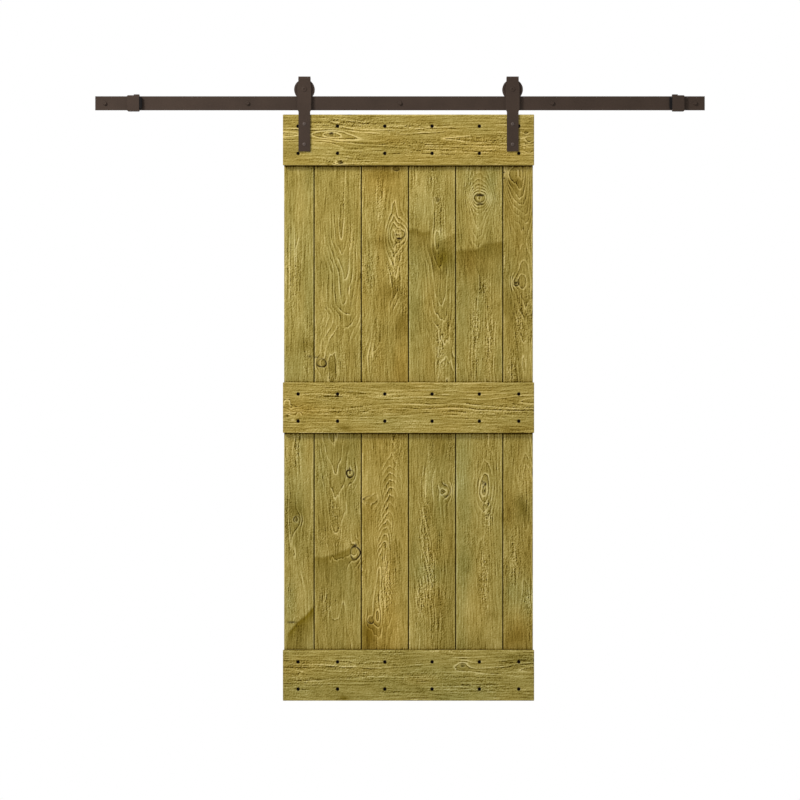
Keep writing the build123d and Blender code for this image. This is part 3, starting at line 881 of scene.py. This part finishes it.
def filled_loop(corners, face, front_step, other_step):
    """The loop with more points: close together along the front face and wider apart elsewhere."""
    points = []
    for start, end in zip(corners, corners[1:] + corners[:1]):
        start, end = np.array(start), np.array(end)
        on_front = max(start[1], end[1]) < face + 0.05 * MM
        step = front_step if on_front else other_step
        pieces = max(1, round(float(np.linalg.norm(end - start)) / step))
        points += [start + (end - start) * i / pieces for i in range(pieces)]
    return np.array(points)


RAILS = ("rail_top", "rail_middle", "rail_bottom")
# How far the boards' points lie apart: across the face, round the rest and along what the rails hide.
FACE_STEP, SIDE_STEP, HIDDEN_STEP = 1.8 * MM, 4 * MM, 20 * MM


def make_planks():
    rails = [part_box(rail) for rail in RAILS]
    covers = [(row(high.z), row(low.z)) for low, high in rails]
    top, middle, bottom = ((low.z, high.z) for low, high in rails)
    step, knot_step, knot_reach = 6.2 * MM, 2 * MM, 20 * MM
    for number in range(1, 7):
        name = f"plank_{number}"
        low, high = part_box(name)
        outline = filled_loop(end_outline(name), low.y, FACE_STEP, SIDE_STEP)
        knots = [(TRACK_ROW - knot[1]) * PIXEL for knot in FEATURES[name]["knots"]]
        heights = list(spaced(low.z, bottom[1], HIDDEN_STEP))
        for (_, under), (over, _) in ((bottom, middle), (middle, top)):
            heights += list(spaced(under, over, step, [under, *knots, over], knot_step, knot_reach)[1:])
            heights += list(spaced(over, over + top[1] - top[0], HIDDEN_STEP)[1:])
        heights[-1] = high.z
        jointed = (number > 1, number < 6)
        board(name, outline, np.array(heights), "X", low.y, 100 * number, jointed, covers=covers)


def make_rails():
    edge, step = 1.6 * MM, 4.6 * MM
    screw_step, screw_reach, clearance = 1.2 * MM, 8 * MM, 0.15 * MM
    for number, name in enumerate(RAILS):
        low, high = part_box(name)
        heads = islands(name + "_screws")
        spots = [((a.x + b.x) / 2, (a.z + b.z) / 2) for a, b in heads]
        radius = max(b.x - a.x for a, b in heads) / 2 + clearance
        levels = sorted({round(z, 4) for _, z in spots})
        sides = sorted({round(x, 4) for x, _ in spots})
        front = spaced(low.z + edge, high.z - edge, FACE_STEP, levels, screw_step, screw_reach)
        upper = [(high.z - edge + edge * math.sin(a), low.y + edge * (1 - math.cos(a))) for a in QUARTER[1:]]
        lower = [(low.z + high.z - z, y) for z, y in reversed(upper)]
        back = [(z, high.y) for z in np.linspace(high.z, low.z, 31)]
        side = np.linspace(low.y + edge, high.y, 5)[1:-1]
        outline = [*[(z, low.y) for z in front], *upper, *[(high.z, y) for y in side], *back,
                   *[(low.z, y) for y in reversed(side)], *lower]
        stations = spaced(low.x, high.x, step, sides, screw_step, screw_reach)
        screws, alone = [(x, z, radius) for x, z in spots], (False, False)
        board(name, np.array(outline), stations, "Z", low.y, 1000 + 100 * number, alone, screws, ease=edge)


# Steel

def bases(node):
    """Where each solid's axis meets its lowest y, and that solid's length along y."""
    boxes = islands(node)
    points = [((a.x + b.x) / 2, a.y, (a.z + b.z) / 2) for a, b in boxes]
    return points, boxes[0][1].y - boxes[0][0].y


def threaded(start, end, radius, pitch, lead, steps):
    """Stations of a threaded shank: the radius runs round and along as a helix, with a short point."""
    stations = []
    for y in np.linspace(start, end, math.ceil((end - start) / pitch * steps) + 1):
        taper = min(1.0, (end - y) / lead * 0.6 + 0.4)

        def helix(turn, y=y, taper=taper):
            phase = (y / pitch - turn / (2 * math.pi)) % 1
            return taper * (radius - 0.5 * MM * np.abs(2 * phase - 1) ** 0.8)

        stations.append((y, helix))
    return stations


def turn_node(node, points, stations, **options):
    """Turned pieces in place of a CAD node."""
    return stands_for(turned(node + "_turned", points, stations, **options), node)


def make_track():
    stands_for(softened("track_bar"), "track_bar")
    points, length = bases("track_standoffs")
    outline = rounded_ring(12 * MM, 4.2 * MM, length, 0.9 * MM)
    turn_node("track_standoffs", points, outline, closed=True)

    points, length = bases("lag_screws")
    head, flat, shank = 5.6 * MM, 6.35 * MM, 3.5 * MM
    middle = hexagon(flat)
    reach = -points[0][1]
    stations = [
        (0.25 * MM, 3.4 * MM), (0.0, 4.4 * MM), (0.0, 5.6 * MM), (0.35 * MM, capped(flat, 6.35 * MM)),
        (1.0 * MM, capped(flat, 7.0 * MM)), (1.7 * MM, middle), (head, middle), (head, 4.0 * MM),
        (reach, 4.0 * MM), (reach, shank), *threaded(reach + 2 * MM, length, shank, 2.6 * MM, 9 * MM, 5),
    ]
    turn_node("lag_screws", points, stations, sides=24)

    boxes = islands("stop_set_screws")
    points = [((a.x + b.x) / 2, (a.y + b.y) / 2, a.z) for a, b in boxes]
    tall = boxes[0][1].z - boxes[0][0].z
    socket = hexagon(1.5 * MM)
    stations = [(0, 2.0 * MM), (0.8 * MM, 2.9 * MM), (tall - 0.4 * MM, 2.9 * MM), (tall, 2.5 * MM),
                (tall, socket), (tall - 2.4 * MM, socket)]
    turn_node("stop_set_screws", points, stations, axis="Z")

    for side in ("left", "right"):
        node = f"stop_block_{side}"
        stands_for(softened(node), node)
        make_pad(f"stop_bumper_{side}", 1 if side == "left" else -1)


def make_pad(node, way):
    """A rubber pad with a crowned, ribbed nose. way is the direction that the nose looks along x."""
    low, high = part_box(node)
    long, deep = high.x - low.x, high.y - low.y
    root = low.x if way > 0 else high.x
    heights = np.linspace(low.z, high.z, 57)
    middle, half = (low.z + high.z) / 2, (high.z - low.z) / 2
    around = np.linspace(0, math.pi, 17)
    points = []
    for z in heights:
        end = min(1.0, (1.0001 - abs(z - middle) / half) * half / (1.2 * MM))
        inset = 1.0 * MM * (1 - math.sqrt(max(0, 1 - (1 - end) ** 2)))
        rib = 0.5 * MM * (0.5 - 0.5 * math.cos(2 * math.pi * (z - low.z) / (6 * MM)))
        crown = 0.8 * MM * ((z - middle) / half) ** 2
        reach = long - inset - rib - crown
        for turn in around:
            y = (low.y + high.y) / 2 - math.cos(turn) * (deep / 2 - inset)
            nose = reach - 2.2 * MM + 2.2 * MM * math.sin(turn) ** 0.45
            points.append((root + way * nose, y, z))
        for y in (high.y - inset, low.y + inset):
            points.append((root, y, z))
    pad = add_object(node + "_ribbed", points, skin_faces(len(heights), len(around) + 2), sharp=50)
    face_outwards(pad)
    stands_for(pad, node)


def make_hangers():
    for side in ("left", "right"):
        node = f"hanger_strap_{side}"
        stands_for(softened(node), node)

    points, length = bases("strap_bolts")
    height, radius, socket = 3.0 * MM, 6.5 * MM, hexagon(2.0 * MM)
    dome = [(height * (1 - math.cos(math.radians(t))), radius * math.sin(math.radians(t)))
            for t in (28, 36, 45, 55, 65, 75, 84, 90)]
    first = dome[0][0]
    stations = [(1.9 * MM, socket), (first + 0.05 * MM, socket), (first, 2.5 * MM), *dome,
                (height, 4 * MM), (length - 11 * MM, 4 * MM),
                *threaded(length - 11 * MM, length, 4 * MM, 1.25 * MM, 1 * MM, 5)]
    bolts = turn_node("strap_bolts", points, stations, sides=36)
    # The bolt heads get a painted highlight: a lighter colour that stands in for their glint.
    places = np.array([v.co for v in bolts.data.vertices], np.float32)
    glint_heads = 0.4 * (places[:, 1:2] < points[0][1] + height)
    add_attribute(bolts, "glint", glint_heads * (1, 0, 0))

    make_nuts("strap_nuts", 6.5 * MM, 3.9 * MM)
    make_nuts("axle_nuts", 8.5 * MM, 4.9 * MM)

    points, length = bases("axle_bolts")
    socket = hexagon(3.0 * MM)
    stations = [(1.3 * MM, socket), (0.1 * MM, socket), (0, hexagon(3.15 * MM)), (0, 8.0 * MM),
                (0.25 * MM, 8.65 * MM), (0.7 * MM, 9.0 * MM), (1.5 * MM, 9.0 * MM), (1.5 * MM, 5 * MM),
                (length - 12 * MM, 5 * MM), *threaded(length - 12 * MM, length, 5 * MM, 1.5 * MM, 1 * MM, 5)]
    turn_node("axle_bolts", points, stations)

    points, length = bases("axle_bushes")
    outline = rounded_ring(8 * MM, 5.02 * MM, length, 0.5 * MM)
    turn_node("axle_bushes", points, outline, closed=True)

    for side in ("left", "right"):
        make_wheel(f"wheel_{side}")


def make_nuts(node, flat, bore):
    points, length = bases(node)
    cone = flat * 1.1
    ring = [(0.0, bore + 0.5 * MM), (0.0, flat * 0.97), (0.5 * MM, capped(flat, cone)),
            (1.0 * MM, hexagon(flat)), (length - 1.0 * MM, hexagon(flat)),
            (length - 0.5 * MM, capped(flat, cone)), (length, flat * 0.97), (length, bore + 0.5 * MM),
            (length - 0.5 * MM, bore), (0.5 * MM, bore)]
    turn_node(node, points, ring, closed=True)


def make_wheel(node):
    points, length = bases(node)
    rim, tread, bore = 37.5 * MM, 24 * MM, 8.05 * MM
    flange = 6 * MM
    nose = 1.6 * MM
    outer = [(nose * (1 - math.cos(a)), rim - nose * (1 - math.sin(a))) for a in QUARTER]
    inner = [(flange - nose * (1 - math.cos(a)), rim - nose * (1 - math.sin(a))) for a in reversed(QUARTER)]
    face = [(0.4 * MM, bore), (0.0, bore + 0.4 * MM), (0.0, 13 * MM), (0.9 * MM, 14.2 * MM),
            (0.9 * MM, 29 * MM), (0.0, 30.2 * MM)]
    half = [*face, *outer, *inner, (flange, tread + 1.2 * MM), (flange + 0.35 * MM, tread + 0.35 * MM),
            (flange + 1.2 * MM, tread)]
    outline = [*half, *[(length - y, r) for y, r in reversed(half)]]
    turn_node(node, points, outline, sides=96, closed=True)


def make_screws():
    for rail in RAILS:
        node = rail + "_screws"
        points, length = bases(node)
        top = 0.45 * MM
        stations = [
            (top + 1.5 * MM, lobes(1.5 * MM)), (top + 0.1 * MM, lobes(1.9 * MM)), (top, lobes(2.15 * MM)),
            (top - 0.1 * MM, 3.4 * MM), (top, 4.5 * MM), (top + 0.4 * MM, 4.95 * MM), (3.4 * MM, 2.3 * MM),
            (length * 0.45, 2.3 * MM), *threaded(length * 0.45, length, 2.3 * MM, 2.2 * MM, 6 * MM, 4),
        ]
        turn_node(node, points, stations, sides=24)


# Stage

def plain_sight(tree):
    """One for the rays that see the white background: from the camera, gloss and clear surfaces."""
    sight = tree.nodes.new("ShaderNodeLightPath").outputs
    seen = sight["Is Camera Ray"]
    for ray in ("Is Glossy Ray", "Is Transmission Ray"):
        either = tree.nodes.new("ShaderNodeMath")
        either.operation = "MAXIMUM"
        tree.links.new(seen, either.inputs[0])
        tree.links.new(sight[ray], either.inputs[1])
        seen = either.outputs[0]
    return seen


def make_floor():
    """A pale floor below the door that fades to the white background."""
    level, size, sides = -2.70, 14.0, 64
    fade_start, fade_end = 0.45, 0.95
    turns = np.linspace(0, 2 * math.pi, sides, endpoint=False)
    points = [(size * math.cos(t), size * math.sin(t), level) for t in turns]
    floor = add_object("floor", points, [tuple(range(sides))])
    n = Nodes("pale_floor")
    flat = n.stretch(n.place, 1, 1, 0)
    far = n.add("VectorMath", {0: flat}, operation="LENGTH").outputs["Value"]
    fade = n.math("MULTIPLY", n.spread(far, fade_start, fade_end), plain_sight(n.tree))
    white = n.add("Emission", {"Color": (1, 1, 1, 1), "Strength": 1.0}).outputs[0]
    blend = n.add("MixShader", {0: fade, 1: n.shader.outputs[0], 2: white})
    n.tree.links.new(blend.outputs[0], n.tree.nodes["Material Output"].inputs["Surface"])
    floor.data.materials.append(n.finish(colour=(0.86, 0.86, 0.85, 1), roughness=0.8))


def make_light():
    ambient = 0.47
    world = bpy.data.worlds.new("studio")
    bpy.context.scene.world = world
    world.use_nodes = True
    tree = world.node_tree
    back = tree.nodes["Background"]
    back.inputs["Color"].default_value = (1, 1, 1, 1)
    level = tree.nodes.new("ShaderNodeMapRange")
    level.inputs["To Min"].default_value = ambient
    tree.links.new(plain_sight(tree), level.inputs["Value"])
    tree.links.new(level.outputs[0], back.inputs["Strength"])

    lamp = bpy.data.lights.new("key", "AREA")
    lamp.shape, lamp.size, lamp.energy = "DISK", 1.8, 390
    key = place("key", lamp)
    key.location = (-3.9, -3.5, 3.1)
    aim = Vector((0.0, 0.0, -0.9)) - Vector(key.location)
    key.rotation_euler = aim.to_track_quat("-Z", "Y").to_euler()


def make_camera():
    lens, sensor = 120, 36
    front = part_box("rail_top")[0].y
    distance = PIXEL * PICTURE * lens / sensor
    data = bpy.data.cameras.new("camera")
    data.lens, data.sensor_width, data.clip_end = lens, sensor, 60
    camera = place("camera", data)
    centre_x = (PICTURE / 2 - MIDDLE_COLUMN) * PIXEL
    centre_z = (TRACK_ROW - PICTURE / 2) * PIXEL
    camera.location = centre_x, front - distance, centre_z
    camera.rotation_euler = (math.pi / 2, 0, 0)
    bpy.context.scene.camera = camera


make_planks()
make_rails()
make_track()
make_hangers()
make_screws()
make_floor()
make_light()
make_camera()
bpy.context.scene.view_settings.view_transform = "Standard"
